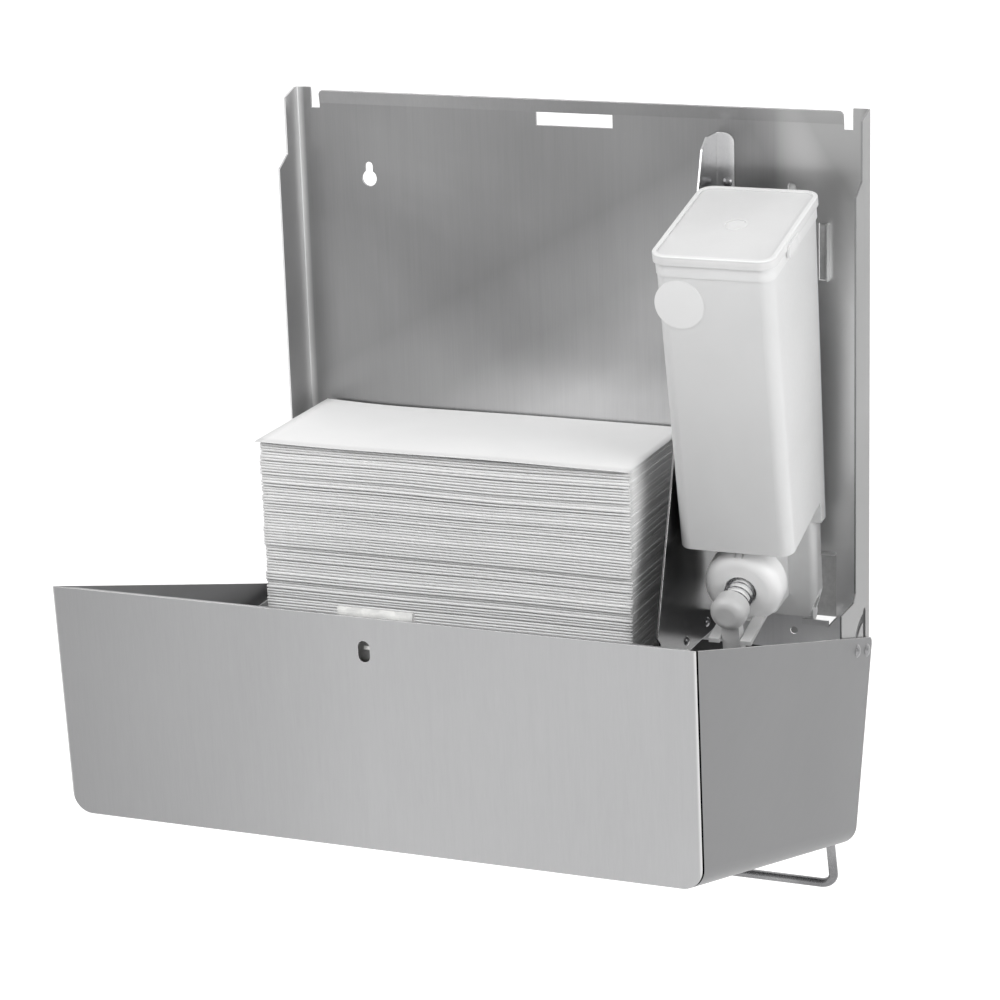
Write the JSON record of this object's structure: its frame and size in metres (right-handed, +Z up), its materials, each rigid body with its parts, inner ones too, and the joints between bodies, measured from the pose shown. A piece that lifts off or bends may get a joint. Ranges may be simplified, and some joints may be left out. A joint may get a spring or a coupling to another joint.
{
  "type": "wall paper towel and soap dispenser",
  "caption": "Wall-hung steel cabinet with its cover swung down: folded paper towels on a tray beside a translucent soap tank with a push pump.",
  "frame": {"origin": "centre of the back plate's rear face, on the wall", "axes": "+X to the right as seen from the room, +Y into the wall, +Z up"},
  "size_m": [0.3956, 0.3429, 0.5058],
  "materials": {
    "steel": "brushed",
    "steel_mirror": "polished",
    "pin_steel": "polished",
    "zinc": "zinc plated",
    "spring_wire": "polished",
    "ball_steel": "polished",
    "tank_plastic": "satin",
    "lid_plastic": "satin",
    "label_film": "satin",
    "rubber": "matte",
    "paper": "matte"
  },
  "bodies": {
    "base": {"back_plate": "steel", "partition": "steel_mirror", "partition_rivets": "steel", "towel_tray": "steel", "tray_rivets": "steel"},
    "towels": {"towel_stack": "paper"},
    "cover": {"cover_shell": "steel", "cover_cap": "steel", "pivot_pins": "pin_steel", "guide_pins": "pin_steel", "latch_bracket": "steel", "latch_spring": "spring_wire", "lever_bracket": "steel", "lever_axle": "pin_steel", "lever_spring": "spring_wire"},
    "latch": {"latch_bolt": "zinc"},
    "lever": {"lever_plate": "steel", "lever_bow": "pin_steel"},
    "tank": {"soap_tank": "tank_plastic", "tank_label": "label_film", "pump_nut": "lid_plastic", "pump_gasket": "rubber", "pump_cylinder": "tank_plastic", "check_ball": "ball_steel", "nozzle_guide": "lid_plastic", "pump_spring": "spring_wire"},
    "lid": {"tank_lid": "lid_plastic"},
    "piston": {"pump_piston": "lid_plastic", "piston_seal": "rubber", "pump_head": "lid_plastic"}
  },
  "joints": [
    {"name": "cover_swing", "type": "hinge", "parent": "base", "child": "cover", "pos_m": [0, -0.0129, -0.168], "axis": [-1, 0, 0], "range_deg": [0, 73.2]},
    {"name": "latch_slide", "type": "slide", "parent": "cover", "child": "latch", "axis": [0, -0.289, -0.9573], "range_m": [0, 0.005], "stiffness_N_per_m": 300, "springref_m": -0.004, "deforming": ["latch_spring"]},
    {"name": "lever_press", "type": "hinge", "parent": "cover", "child": "lever", "pos_m": [0.1385, -0.16676, -0.22785], "axis": [1, 0, 0], "range_deg": [0, 9.5], "stiffness_Nm_per_rad": 1.2, "springref_deg": -11.46},
    {"name": "tank_tilt", "type": "hinge", "parent": "base", "child": "tank", "pos_m": [0.1345, -0.0095, -0.1467], "axis": [-1, 0, 0], "range_deg": [0, 6]},
    {"name": "lid_lift", "type": "slide", "parent": "tank", "child": "lid", "axis": [0, -0.2351, 0.972], "range_m": [0, 0.012]},
    {"name": "pump_stroke", "type": "slide", "parent": "tank", "child": "piston", "axis": [0, 0.9659, 0.2588], "range_m": [0, 0.007], "stiffness_N_per_m": 350, "springref_m": -0.006, "deforming": ["pump_spring"]},
    {"name": "towel_lift", "type": "slide", "parent": "base", "child": "towels", "axis": [0, 0, 1], "range_m": [0, 0.08]}
  ]
}
